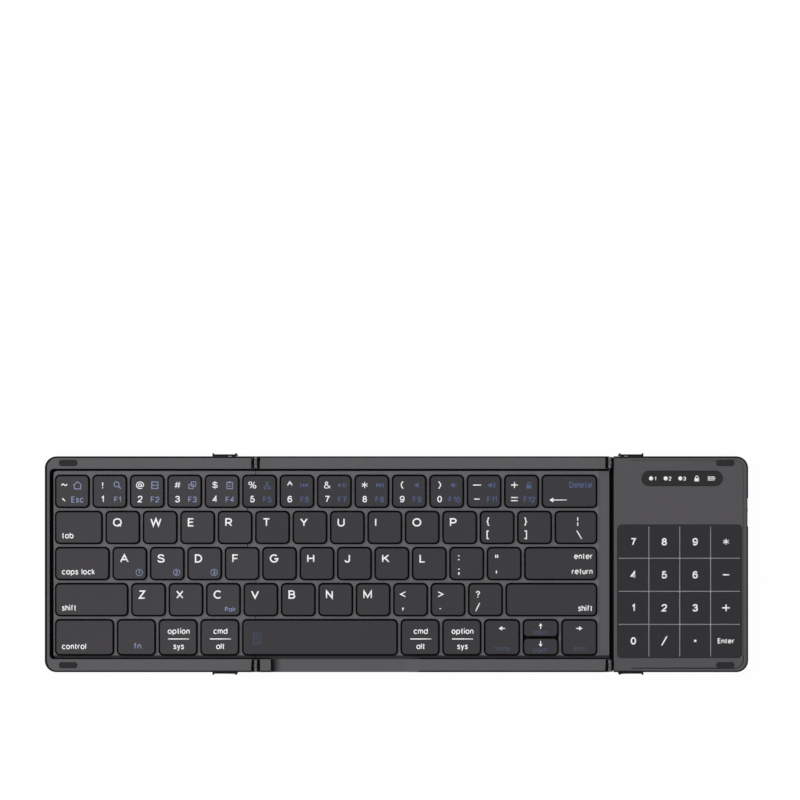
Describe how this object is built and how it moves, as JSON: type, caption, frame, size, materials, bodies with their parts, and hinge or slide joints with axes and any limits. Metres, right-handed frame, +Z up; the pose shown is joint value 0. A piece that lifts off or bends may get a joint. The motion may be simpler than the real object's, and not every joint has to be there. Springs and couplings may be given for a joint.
{
  "type": "folding keyboard",
  "caption": "Tri-fold wireless keyboard: left and right panels fold over the middle one; scissor keys, touch number pad, flip-out stands and a power switch.",
  "frame": {"origin": "middle of the footprint, on the surface that the feet rest on, with the keyboard open and flat", "axes": "+X to the right along the keyboard, +Y to the rear, +Z up through the keys"},
  "size_m": [0.3194, 0.1008, 0.01],
  "materials": {
    "body_shell": "fine matt dark grey paint",
    "bottom_shell": "fine grained dark plastic",
    "keycap": "satin charcoal with white marks",
    "steel": "plain steel",
    "hinge_metal": "dark grey painted metal",
    "dome_rubber": "silicone",
    "scissor_plastic": "natural plastic",
    "foot_rubber": "matt rubber",
    "stand_plastic": "black plastic",
    "pad_surface": "satin black touch surface",
    "board": "green circuit board",
    "battery_foil": "foil pouch",
    "flex_film": "amber film"
  },
  "bodies": {
    "center_panel": {"center_top_frame": "body_shell", "center_bottom_cover": "bottom_shell", "center_switch_plate": "steel", "center_dome_sheet": "dome_rubber", "center_key_scissors": "scissor_plastic", "center_feet": "foot_rubber", "left_hinge_center_leaves": "hinge_metal", "right_hinge_center_leaves": "hinge_metal", "left_hinge_pins": "hinge_metal", "right_hinge_pins": "hinge_metal"},
    "left_panel": {"left_top_frame": "body_shell", "left_bottom_cover": "bottom_shell", "left_switch_plate": "steel", "left_dome_sheet": "dome_rubber", "left_key_scissors": "scissor_plastic", "left_feet": "foot_rubber", "left_bumpers": "foot_rubber", "left_hinge_panel_leaves": "hinge_metal", "left_flex_cable": "flex_film"},
    "right_panel": {"right_top_cover": "body_shell", "right_bottom_cover": "bottom_shell", "touch_number_pad": "pad_surface", "touch_sensor_board": "board", "indicator_window": "pad_surface", "main_circuit_board": "board", "battery": "battery_foil", "charging_socket": "steel", "right_feet": "foot_rubber", "right_bumpers": "foot_rubber", "right_hinge_panel_leaves": "hinge_metal", "right_hinge_strip": "foot_rubber"},
    "left_stand": {"left_stand": "stand_plastic"},
    "right_stand": {"right_stand": "stand_plastic"},
    "power_switch_slider": {"power_switch_slider": "stand_plastic"},
    "number_keys_left": {"number_keys_left": "keycap"},
    "tab_key": {"tab_key": "keycap"},
    "letter_keys_qwer": {"letter_keys_qwer": "keycap"},
    "caps_lock_key": {"caps_lock_key": "keycap"},
    "letter_keys_asdf": {"letter_keys_asdf": "keycap"},
    "left_shift_key": {"left_shift_key": "keycap"},
    "letter_keys_zxc": {"letter_keys_zxc": "keycap"},
    "control_key": {"control_key": "keycap"},
    "modifier_keys_left": {"modifier_keys_left": "keycap"},
    "number_keys_center": {"number_keys_center": "keycap"},
    "minus_equals_keys": {"minus_equals_keys": "keycap"},
    "backspace_key": {"backspace_key": "keycap"},
    "letter_keys_tyuiop": {"letter_keys_tyuiop": "keycap"},
    "bracket_keys": {"bracket_keys": "keycap"},
    "letter_keys_ghjkl": {"letter_keys_ghjkl": "keycap"},
    "semicolon_quote_keys": {"semicolon_quote_keys": "keycap"},
    "enter_key": {"enter_key": "keycap"},
    "letter_keys_vbnm": {"letter_keys_vbnm": "keycap"},
    "comma_period_slash_keys": {"comma_period_slash_keys": "keycap"},
    "right_shift_key": {"right_shift_key": "keycap"},
    "space_bar": {"space_bar": "keycap"},
    "modifier_keys_center": {"modifier_keys_center": "keycap"},
    "left_arrow_key": {"left_arrow_key": "keycap"},
    "up_arrow_key": {"up_arrow_key": "keycap"},
    "down_arrow_key": {"down_arrow_key": "keycap"},
    "right_arrow_key": {"right_arrow_key": "keycap"}
  },
  "joints": [
    {"name": "fold_left_panel", "type": "hinge", "parent": "center_panel", "child": "left_panel", "pos_m": [-0.06392, 0, 0.00875], "axis": [0, 1, 0], "range_deg": [0, 180], "deforming": ["left_flex_cable"]},
    {"name": "fold_right_panel", "type": "hinge", "parent": "center_panel", "child": "right_panel", "pos_m": [0.09682, 0, 0.00875], "axis": [0, -1, 0], "range_deg": [0, 180], "deforming": ["right_hinge_strip"]},
    {"name": "flip_left_stand", "type": "hinge", "parent": "left_panel", "child": "left_stand", "pos_m": [-0.07402, 0, 0.0029], "axis": [0, -1, 0], "range_deg": [0, 90]},
    {"name": "flip_right_stand", "type": "hinge", "parent": "right_panel", "child": "right_stand", "pos_m": [0.10262, 0, 0.0029], "axis": [0, 1, 0], "range_deg": [0, 90]},
    {"name": "slide_power_switch", "type": "slide", "parent": "right_panel", "child": "power_switch_slider", "axis": [0, 1, 0], "range_m": [-0.002, 0]},
    {"name": "press_number_keys_left", "type": "slide", "parent": "left_panel", "child": "number_keys_left", "axis": [0, 0, 1], "range_m": [-0.0014, 0], "stiffness_N_per_m": 1925},
    {"name": "press_tab_key", "type": "slide", "parent": "left_panel", "child": "tab_key", "axis": [0, 0, 1], "range_m": [-0.0014, 0], "stiffness_N_per_m": 385, "deforming": ["left_dome_sheet", "left_key_scissors"]},
    {"name": "press_letter_keys_qwer", "type": "slide", "parent": "left_panel", "child": "letter_keys_qwer", "axis": [0, 0, 1], "range_m": [-0.0014, 0], "stiffness_N_per_m": 1540},
    {"name": "press_caps_lock_key", "type": "slide", "parent": "left_panel", "child": "caps_lock_key", "axis": [0, 0, 1], "range_m": [-0.0014, 0], "stiffness_N_per_m": 385},
    {"name": "press_letter_keys_asdf", "type": "slide", "parent": "left_panel", "child": "letter_keys_asdf", "axis": [0, 0, 1], "range_m": [-0.0014, 0], "stiffness_N_per_m": 1540},
    {"name": "press_left_shift_key", "type": "slide", "parent": "left_panel", "child": "left_shift_key", "axis": [0, 0, 1], "range_m": [-0.0014, 0], "stiffness_N_per_m": 385},
    {"name": "press_letter_keys_zxc", "type": "slide", "parent": "left_panel", "child": "letter_keys_zxc", "axis": [0, 0, 1], "range_m": [-0.0014, 0], "stiffness_N_per_m": 1155},
    {"name": "press_control_key", "type": "slide", "parent": "left_panel", "child": "control_key", "axis": [0, 0, 1], "range_m": [-0.0014, 0], "stiffness_N_per_m": 385},
    {"name": "press_modifier_keys_left", "type": "slide", "parent": "left_panel", "child": "modifier_keys_left", "axis": [0, 0, 1], "range_m": [-0.0014, 0], "stiffness_N_per_m": 1155},
    {"name": "press_number_keys_center", "type": "slide", "parent": "center_panel", "child": "number_keys_center", "axis": [0, 0, 1], "range_m": [-0.0014, 0], "stiffness_N_per_m": 2310},
    {"name": "press_minus_equals_keys", "type": "slide", "parent": "center_panel", "child": "minus_equals_keys", "axis": [0, 0, 1], "range_m": [-0.0014, 0], "stiffness_N_per_m": 770},
    {"name": "press_backspace_key", "type": "slide", "parent": "center_panel", "child": "backspace_key", "axis": [0, 0, 1], "range_m": [-0.0014, 0], "stiffness_N_per_m": 385},
    {"name": "press_letter_keys_tyuiop", "type": "slide", "parent": "center_panel", "child": "letter_keys_tyuiop", "axis": [0, 0, 1], "range_m": [-0.0014, 0], "stiffness_N_per_m": 2310},
    {"name": "press_bracket_keys", "type": "slide", "parent": "center_panel", "child": "bracket_keys", "axis": [0, 0, 1], "range_m": [-0.0014, 0], "stiffness_N_per_m": 1155},
    {"name": "press_letter_keys_ghjkl", "type": "slide", "parent": "center_panel", "child": "letter_keys_ghjkl", "axis": [0, 0, 1], "range_m": [-0.0014, 0], "stiffness_N_per_m": 1925},
    {"name": "press_semicolon_quote_keys", "type": "slide", "parent": "center_panel", "child": "semicolon_quote_keys", "axis": [0, 0, 1], "range_m": [-0.0014, 0], "stiffness_N_per_m": 770},
    {"name": "press_enter_key", "type": "slide", "parent": "center_panel", "child": "enter_key", "axis": [0, 0, 1], "range_m": [-0.0014, 0], "stiffness_N_per_m": 385},
    {"name": "press_letter_keys_vbnm", "type": "slide", "parent": "center_panel", "child": "letter_keys_vbnm", "axis": [0, 0, 1], "range_m": [-0.0014, 0], "stiffness_N_per_m": 1540},
    {"name": "press_comma_period_slash_keys", "type": "slide", "parent": "center_panel", "child": "comma_period_slash_keys", "axis": [0, 0, 1], "range_m": [-0.0014, 0], "stiffness_N_per_m": 1155},
    {"name": "press_right_shift_key", "type": "slide", "parent": "center_panel", "child": "right_shift_key", "axis": [0, 0, 1], "range_m": [-0.0014, 0], "stiffness_N_per_m": 385},
    {"name": "press_space_bar", "type": "slide", "parent": "center_panel", "child": "space_bar", "axis": [0, 0, 1], "range_m": [-0.0014, 0], "stiffness_N_per_m": 385, "deforming": ["center_dome_sheet", "center_key_scissors"]},
    {"name": "press_modifier_keys_center", "type": "slide", "parent": "center_panel", "child": "modifier_keys_center", "axis": [0, 0, 1], "range_m": [-0.0014, 0], "stiffness_N_per_m": 770},
    {"name": "press_left_arrow_key", "type": "slide", "parent": "center_panel", "child": "left_arrow_key", "axis": [0, 0, 1], "range_m": [-0.0014, 0], "stiffness_N_per_m": 385},
    {"name": "press_up_arrow_key", "type": "slide", "parent": "center_panel", "child": "up_arrow_key", "axis": [0, 0, 1], "range_m": [-0.0014, 0], "stiffness_N_per_m": 385},
    {"name": "press_down_arrow_key", "type": "slide", "parent": "center_panel", "child": "down_arrow_key", "axis": [0, 0, 1], "range_m": [-0.0014, 0], "stiffness_N_per_m": 385},
    {"name": "press_right_arrow_key", "type": "slide", "parent": "center_panel", "child": "right_arrow_key", "axis": [0, 0, 1], "range_m": [-0.0014, 0], "stiffness_N_per_m": 385}
  ]
}
